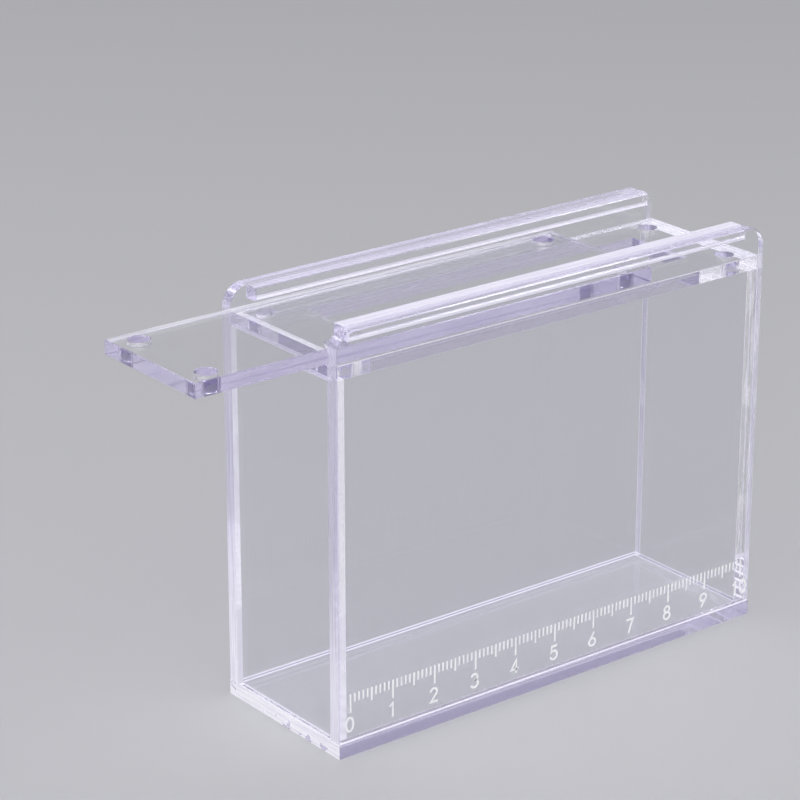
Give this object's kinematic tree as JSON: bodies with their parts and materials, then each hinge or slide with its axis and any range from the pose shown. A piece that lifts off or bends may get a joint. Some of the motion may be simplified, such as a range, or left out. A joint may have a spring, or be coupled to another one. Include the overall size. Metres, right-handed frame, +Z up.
{
  "type": "fish observation box",
  "caption": "Narrow clear tank for watching a small fish, with a lid that slides between a holed frame and guide strips at the rim.",
  "frame": {"origin": "centre of the base's underside", "axes": "+X along the tank to the right as seen from the ruler side, +Y from the ruler side to the rear, +Z up"},
  "size_m": [0.1334, 0.0356, 0.084],
  "materials": {
    "clear_acrylic": "clear polished sheet",
    "white_marking": "thin opaque white marking on the front panel"
  },
  "bodies": {
    "tank": {"base_plate": "clear_acrylic", "front_panel": "clear_acrylic", "rear_panel": "clear_acrylic", "left_end_wall": "clear_acrylic", "right_end_wall": "clear_acrylic", "top_frame": "clear_acrylic", "front_guide_strip": "clear_acrylic", "rear_guide_strip": "clear_acrylic"},
    "lid": {"sliding_lid": "clear_acrylic"}
  },
  "joints": [
    {"name": "lid_slide", "type": "slide", "parent": "tank", "child": "lid", "axis": [1, 0, 0], "range_m": [-0.062, 0.1184]}
  ]
}
